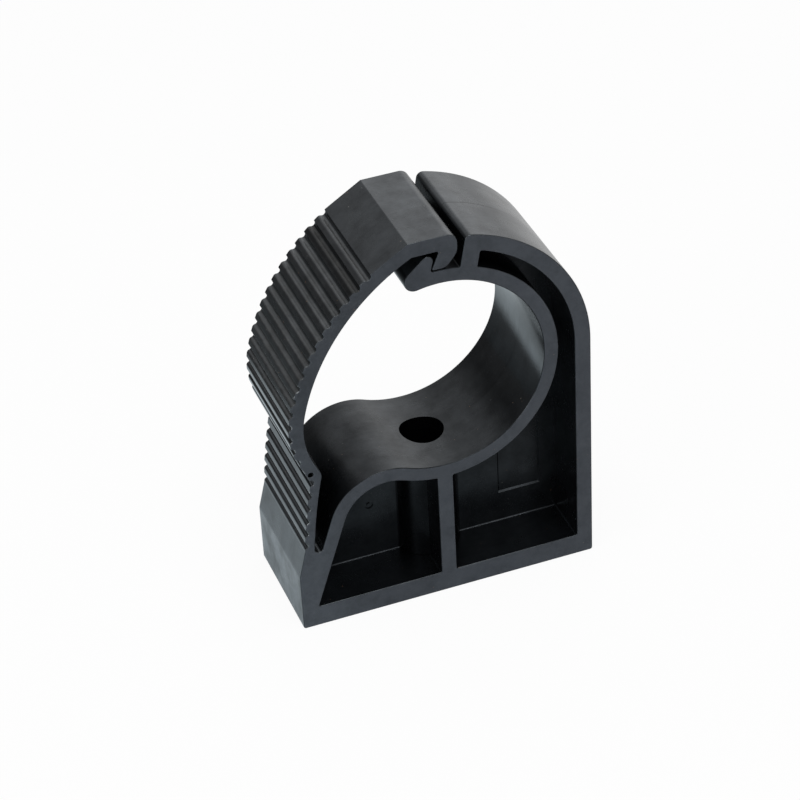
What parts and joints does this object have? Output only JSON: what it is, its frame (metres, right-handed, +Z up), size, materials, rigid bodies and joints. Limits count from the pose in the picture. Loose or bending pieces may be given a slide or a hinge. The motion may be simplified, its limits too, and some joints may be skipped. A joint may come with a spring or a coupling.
{
  "type": "pipe clip",
  "caption": "Moulded plastic pipe clip: screw-down saddle with an open-backed ring, a ribbed locking strap on a flexing neck, and a snap hook that closes over the pipe.",
  "frame": {"origin": "on the screw axis, at the underside of the base", "axes": "+X along the base, away from the strap; +Y along the pipe; +Z up from the wall or floor that the clip is screwed to"},
  "size_m": [0.0592, 0.024, 0.0792],
  "materials": {
    "black_plastic": "satin moulded polypropylene, dark grey to black"
  },
  "bodies": {
    "clip_body": {"clip_body": "black_plastic"},
    "locking_strap": {"locking_strap": "black_plastic"}
  },
  "joints": [
    {"name": "strap_fold", "type": "hinge", "parent": "clip_body", "child": "locking_strap", "pos_m": [-0.02684, 0, 0.02485], "axis": [0, -1, 0], "range_deg": [0, 55]}
  ]
}
